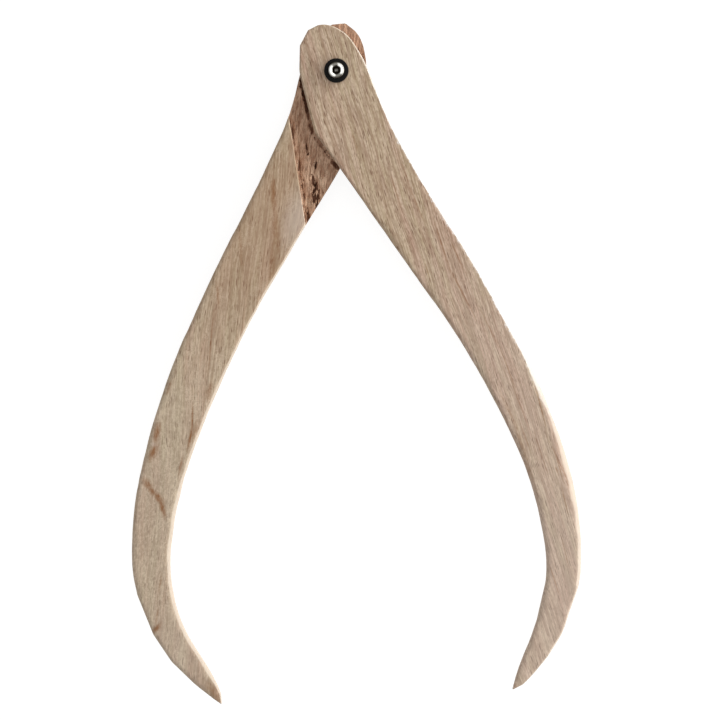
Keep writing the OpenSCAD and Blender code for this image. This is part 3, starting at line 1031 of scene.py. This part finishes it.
def make_board(arm, lap_is_front, floor_height, hollows):
    """The arm as one closed mesh. Its lap side has a torn floor beyond a sawn shoulder."""
    plan, triangles = plan_of(arm)
    lap_face, plain_face = (WOOD_FRONT, WOOD_BACK) if lap_is_front else (WOOD_BACK, WOOD_FRONT)
    toward = 1 if lap_is_front else -1
    far, place = nearest_on(plan, arm.outline)
    drop = round_drop(far, arm.edge_width(place))
    near_pivot = lengths(plan - PIVOT)
    calm = np.clip((near_pivot - FLAT_ROUND_PIVOT) / WAVE_FADE, 0, 1)
    waves = FACE_WAVE * calm * (1 + bumps(plan, 0.3, 9 * MM, 22 * MM, 5.5)) / 2
    torn = torn_depth(plan, -down_angle(WOODS[arm.node]["lean"]), hollows)
    torn *= np.clip((near_pivot - BORE_R) / TORN_FADE, 0, 1)
    plain_z = plain_face + toward * (drop + waves)
    to_lap, _ = nearest_on(plan, arm.lap, closed=False)
    eased = SHOULDER_EASE * np.clip(1 - to_lap / SHOULDER_EASE, 0, 1)
    face_z = lap_face - toward * (drop + waves + eased)
    floor_z = floor_height - toward * torn
    recessed = arm.beyond_shoulder(plan[triangles].mean(1))
    count = len(plan)
    heights = np.concatenate([plain_z, face_z, floor_z])
    vertices = np.column_stack([np.tile(plan, (3, 1)), heights])
    tops = triangles + np.where(recessed, 2 * count, count)[:, None]
    order = triangles[:, ::-1] if lap_is_front else triangles
    caps = tops if lap_is_front else tops[:, ::-1]
    faces = [tuple(f) for f in order] + [tuple(f) for f in caps]
    owner = {}
    for t, (a, b, c) in enumerate(triangles):
        for edge in ((a, b), (b, c), (c, a)):
            owner[edge] = t
    for (a, b), t in owner.items():
        other = owner.get((b, a))
        lift = 2 * count if recessed[t] else count
        if other is None:
            wall = (a, b, b + lift, a + lift)
        elif recessed[t] and not recessed[other]:
            wall = (a + 2 * count, b + 2 * count, b + count, a + count)
        else:
            continue
        faces.append(wall if lap_is_front else wall[::-1])
    used = np.zeros(len(vertices), bool)
    for face in faces:
        used[list(face)] = True
    index = np.cumsum(used) - 1
    board = new_mesh(arm.node + "_board", vertices[used], [[index[i] for i in f] for f in faces])
    shown = np.concatenate([np.zeros(2 * count), np.ones(count)])[used]
    add_attribute(board, "torn", shown)
    add_attribute(board, "torn_depth", np.concatenate([np.zeros(2 * count), torn / MM])[used])
    # Sanded paleness, with a painted highlight that is strongest on edges facing right, towards the key lamp
    sanded = np.clip(1.2 - far / np.maximum(arm.edge_width(place), THINNEST_ROUND), 0, 1) * arm.sanded_and_lit_share(place)
    on_face = np.maximum(sanded, SHOULDER_PALE * np.clip(1.2 - to_lap / SHOULDER_EASE, 0, 1))
    add_attribute(board, "sanded", np.concatenate([sanded, on_face, np.zeros(count)])[used])
    return board


HALF_LAP_GAP = 0.05 * MM
FRONT_FLOOR = WOOD_MIDDLE + HALF_LAP_GAP
REAR_FLOOR = WOOD_MIDDLE - HALF_LAP_GAP
RING_FROM_FACE = 2.2 * MM  # the CAD's walls stand upright from here

front = Arm("front_arm", WOOD_FRONT - RING_FROM_FACE, FRONT_FLOOR)
rear = Arm("rear_arm", WOOD_BACK + RING_FROM_FACE, REAR_FLOOR)
front_board = make_board(front, False, FRONT_FLOOR, ())
rear_board = make_board(rear, True, REAR_FLOOR, REAR_HOLLOWS_AND_SHADOW_LINE)
for board, node, body in ((front_board, "front_arm", "front_leg"), (rear_board, "rear_arm", "rear_leg")):
    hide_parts(node)
    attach(board, body)

for board, node in ((front_board, "front_arm"), (rear_board, "rear_arm")):
    board.data.materials.append(wood_material(node))


# Turned and moulded pieces, made of rings round the screw's axis

RING_STEPS = 192


def hexagon(across_flats, corner_limit=math.inf):
    """The radius of a hexagon at angles from one of its corners, with its corners turned off at a limit."""
    def radius(angle):
        from_flat = np.mod(angle, math.pi / 3) - math.pi / 6
        return np.minimum(across_flats / 2 / np.cos(from_flat), corner_limit)
    return radius


def make_rings(name, rings, closed, turn=0.0, twist=None):
    """A piece from rings of height and radius in mm, joined in a circle or shut flat at both ends."""
    around = np.arange(RING_STEPS) * 2 * math.pi / RING_STEPS
    vertices = []
    for height, radius in rings:
        r = radius(around) if callable(radius) else np.full(RING_STEPS, float(radius))
        if twist:
            r = r - twist(height, around)
        x = PIVOT[0] + r * MM * np.cos(around + turn)
        y = PIVOT[1] + r * MM * np.sin(around + turn)
        vertices.append(np.column_stack([x, y, np.full(RING_STEPS, height * MM)]))
    count = len(rings)
    faces = []
    for k in range(count if closed else count - 1):
        a, b = k * RING_STEPS, (k + 1) % count * RING_STEPS
        for i in range(RING_STEPS):
            j = (i + 1) % RING_STEPS
            faces.append((a + i, a + j, b + j, b + i))
    if not closed:
        faces.append(tuple(reversed(range(RING_STEPS))))
        faces.append(tuple(range((count - 1) * RING_STEPS, count * RING_STEPS)))
    return new_mesh(name, np.vstack(vertices), faces, sharp=28)


def rounded(corner, start, stop, size, steps):
    """Rings of a round of the given size about corner, between two angles in degrees."""
    radius, height = corner
    angles = [math.radians(start + (stop - start) * k / steps) for k in range(steps + 1)]
    return [(height + size * math.sin(a), radius + size * math.cos(a)) for a in angles]


def box_mm(node):
    low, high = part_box(node)
    return low.z / MM, high.z / MM, (high.x - low.x) / 2 / MM


# The screw and its bore, in mm
SHANK_R = 2.415
END_BEVEL = 0.6
BORE_MM = 2.495
SOCKET_FLATS = 3.97
SOCKET_DEPTH = 2.5
SOCKET_TURN = math.radians(27)
THREAD_PITCH = 1.06
THREAD_DEPTH = 0.42
THREAD_TOP = 1.7
KNURLS = 48
KNURL_DEPTH = 0.13
KNURL_FROM_SEAT, KNURL_FROM_TOP = 0.35, 0.75
RIM_SHADE = 0.6  # how dark the painted shade on the head's turned rim is, for 1 in the socket


def make_screw():
    end, top, head_r = box_mm("pivot_screw")
    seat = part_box("front_washer")[1].z / MM
    knurl_low, knurl_high = seat + KNURL_FROM_SEAT, top - KNURL_FROM_TOP

    def grooves(height, around):
        """What the thread and the knurls take off the radius."""
        if height < THREAD_TOP:
            phase = np.mod(height / THREAD_PITCH - around / (2 * math.pi), 1)
            fade = min(1, (THREAD_TOP - height) / 0.5)
            return THREAD_DEPTH * fade * np.clip(1.25 - 4 * np.abs(phase - 0.5), 0, 1)
        if knurl_low <= height <= knurl_high:
            return KNURL_DEPTH * np.abs(np.mod(around * KNURLS / (2 * math.pi), 1) * 2 - 1)
        return np.zeros(len(around))

    # From the screw's end up its shank, over the head and down into the socket
    rings = [(end, 1.2), (end, SHANK_R - END_BEVEL)]
    rings += [(end + END_BEVEL * k / 6, SHANK_R - END_BEVEL + END_BEVEL * k / 6) for k in range(1, 7)]
    rings += [(end + END_BEVEL + 0.1 * k, SHANK_R) for k in range(1, 12)]
    rings += [(seat, SHANK_R), (seat, head_r - 0.35), (seat + 0.2, head_r - 0.1)]
    rings += [(knurl_low - 0.02, head_r - 0.05)]
    rings += [(knurl_low, head_r), (knurl_high, head_r), (knurl_high + 0.02, head_r - 0.04)]
    rings += [(top - 0.5, head_r - 0.05), (top - 0.3, head_r - 0.14), (top - 0.12, head_r - 0.3)]
    rings += [(top - 0.03, head_r - 0.46), (top, head_r - 0.62), (top, 3.0), (top, 2.45)]
    rings += [(top - 0.06, 2.36), (top - 0.3, hexagon(SOCKET_FLATS, 2.26))]
    rings += [(top - 0.42, hexagon(SOCKET_FLATS))]
    floor = top - SOCKET_DEPTH
    rings += [(floor, hexagon(SOCKET_FLATS)), (floor - 0.04, 1.85), (floor - 0.4, 1.25), (floor - 0.45, 1.1)]
    rings += [(floor - 0.5, 0.05)]
    screw = make_rings("pivot_screw_turned", rings, closed=False, turn=SOCKET_TURN, twist=grooves)
    heights = np.array([v.co.z for v in screw.data.vertices]) / MM
    reach = np.array([math.hypot(v.co.x - PIVOT[0], v.co.y - PIVOT[1]) for v in screw.data.vertices]) / MM
    # Painted shade: the socket darkens with depth, its floor's centre is left lighter as a painted glint, and
    # the head's rim is darkened
    in_socket = (heights < top - 0.03) & (heights > floor - 1) & (reach < 2.4)
    painted_shade = np.clip((top - heights) / 0.3, 0, 1) * np.where(reach < 0.6, 0.7, 1)
    on_rim = np.clip((reach - head_r + 0.75) / 0.35, 0, 1) * (heights > seat)
    add_attribute(screw, "painted_shade", np.maximum(in_socket * painted_shade, on_rim * RIM_SHADE))
    return screw


def make_washer(node):
    low, high, radius = box_mm(node)
    soft = 0.4
    rings = [(low, BORE_MM), (low, radius - soft - 0.6)]
    rings += rounded((radius - soft, low + soft), -90, 0, soft, 5)
    rings += rounded((radius - soft, high - soft), 0, 90, soft, 5)
    rings += [(high, radius - soft - 0.6), (high, BORE_MM + 0.1), (high - 0.1, BORE_MM), (low + 0.1, BORE_MM)]
    return make_rings(node + "_rubber", rings, closed=True)


# The nut and its collar, in mm
NUT_FLATS = 9.53
NUT_CORNER = NUT_FLATS / 2 / math.cos(math.radians(30))
CROWN_R = 4.2
CROWN_HEIGHT = 1.7
POCKET_R = 3.5


def make_nut():
    low, high, _ = box_mm("lock_nut")
    shoulder = low + CROWN_HEIGHT
    bevel = NUT_CORNER - NUT_FLATS / 2
    flats = [(shoulder + bevel * k / 5, hexagon(NUT_FLATS, NUT_FLATS / 2 + bevel * k / 5)) for k in range(6)]
    upper = []
    for k in range(5):
        off = bevel / 2 * k / 4
        upper.append((high - bevel / 2 + off, hexagon(NUT_FLATS, NUT_CORNER - off)))
    rings = [(high, BORE_MM + 0.25), (high, 4.1)] + upper[::-1] + flats[::-1]
    rings += [(shoulder, CROWN_R + 0.22), (shoulder - 0.06, CROWN_R + 0.08), (shoulder - 0.2, CROWN_R)]
    rings += rounded((CROWN_R - 0.35, low + 0.35), 0, -90, 0.35, 5)
    rings += rounded((POCKET_R + 0.1, low + 0.1), -90, -180, 0.1, 3)
    rings += [(shoulder, POCKET_R), (shoulder, BORE_MM), (high - 0.25, BORE_MM)]
    return make_rings("lock_nut_plated", rings, closed=True)


def make_collar():
    low, high, radius = box_mm("nut_collar")
    rings = [(high, BORE_MM), (high, radius)]
    rings += rounded((radius - 0.15, low + 0.15), 0, -90, 0.15, 3)
    rings += rounded((BORE_MM + 0.3, low + 0.3), -90, -180, 0.3, 4)
    return make_rings("nut_collar_nylon", rings, closed=True)


def steel_rings_and_highlights_group():
    """Tones of a turned steel face, from 0 to 1: fine turned rings, and rays of painted highlight that are
    brightest along Glint.
    """
    w, given, out = new_group(
        "Turned steel rings and painted highlights",
        {"Vector": (0, 0, 0), "Axis": (0, 0, 0), "Glint": (1, 0, 0), "Seed": 0.0},
        ("Highlight rays", "Rings"),
    )
    in_mm = w.scaled(w.vector("SUBTRACT", given["Vector"], given["Axis"]), IN_MM)
    x, y, z = w.parts(in_mm)
    flat = w.joined(x, y, 0.0)
    far = w.vector("LENGTH", flat)
    way = w.vector("NORMALIZE", flat)
    side = w.math("ABSOLUTE", w.vector("DOT_PRODUCT", way, given["Glint"]))
    place = w.vector("ADD", w.scaled(way, (2.5, 2.5, 0)), w.joined(given["Seed"], 0.0, far))
    rough = w.times(w.minus(w.noise(place, detail=3.0), 0.5), 0.9)
    rings = w.noise(w.joined(w.times(far, 9.0), w.times(z, 9.0), given["Seed"]), detail=2.0)
    w.feed(out["Highlight rays"], w.between(w.plus(side, rough), 0.3, 0.75))
    w.feed(out["Rings"], rings)
    return w.tree


STEEL_RINGS_AND_HIGHLIGHTS = steel_rings_and_highlights_group()


# The way across the pivot along which the painted highlight's rays are brightest
GLINT = (0.97, 0.22, 0)


def steel_material(name, bright, shade, roughness, socket_shade_color=None):
    material, w = new_material(name)
    tones = w.group(STEEL_RINGS_AND_HIGHLIGHTS, {
        "Vector": w.place(), "Axis": (PIVOT[0], PIVOT[1], 0), "Glint": GLINT, "Seed": roughness * 40,
    })
    # Painted highlight: bright along the Glint way and shaded across it
    color = w.mix(tones["Highlight rays"], shade, bright)
    color = w.mix(w.between(tones["Rings"], 0.35, 0.65, 0.0, 0.35), color, shade)
    # Painted shade in the screw's socket and on its rim
    if socket_shade_color:
        painted_shade = w.painted("painted_shade")
        color = w.mix(painted_shade, color, socket_shade_color)
    bump = w.add("ShaderNodeBump", {"Height": tones["Rings"], "Strength": 0.25, "Distance": 0.03 * MM})
    shine = w.add("ShaderNodeBsdfPrincipled", {
        "Base Color": color, "Metallic": 1.0, "Roughness": roughness, "Normal": bump.outputs[0],
    })
    finish_material(w, shine.outputs[0])
    return material


def rubber_material():
    material, w = new_material("washer_rubber")
    values = {"Vector": w.place(), "Scale": 900.0, "Detail": 4.0, "Roughness": 0.7}
    cloud = w.group(CLOUD, values)["Cloud"]
    color = w.mix(w.between(cloud, 0.35, 0.7), tone(9, 8, 8), tone(21, 19, 18))
    bump = w.add("ShaderNodeBump", {"Height": cloud, "Strength": 0.3, "Distance": 0.05 * MM})
    shine = w.add("ShaderNodeBsdfPrincipled", {
        "Base Color": color, "Roughness": 0.7, "Specular IOR Level": 0.12, "Normal": bump.outputs[0],
    })
    finish_material(w, shine.outputs[0])
    return material


def nylon_material():
    material, w = new_material("collar_nylon")
    cloud = w.group(CLOUD, {"Vector": w.place(), "Scale": 400.0})["Cloud"]
    color = w.mix(cloud, tone(214, 214, 200), tone(232, 231, 220))
    shine = w.add("ShaderNodeBsdfPrincipled", {"Base Color": color, "Roughness": 0.4, "IOR": 1.53})
    finish_material(w, shine.outputs[0])
    return material


HARDWARE = (
    (make_screw(), "pivot_screw", "tension_screw", "screw_steel"),
    (make_washer("front_washer"), "front_washer", "front_leg", "washer_rubber"),
    (make_washer("rear_washer"), "rear_washer", "rear_leg", "washer_rubber"),
    (make_nut(), "lock_nut", "rear_leg", "nut_steel"),
    (make_collar(), "nut_collar", "rear_leg", "collar_nylon"),
)
FINISHES = {
    "screw_steel": steel_material(
        "screw_steel", tone(244, 244, 239), tone(112, 110, 104), 0.32, socket_shade_color=tone(46, 40, 33)
    ),
    "nut_steel": steel_material("nut_steel", tone(206, 208, 208), tone(160, 162, 163), 0.38),
    "washer_rubber": rubber_material(),
    "collar_nylon": nylon_material(),
}
for piece, node, body, slot in HARDWARE:
    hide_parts(node)
    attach(piece, body)
    piece.data.materials.append(FINISHES[slot])

bpy.context.scene.view_settings.view_transform = "Standard"
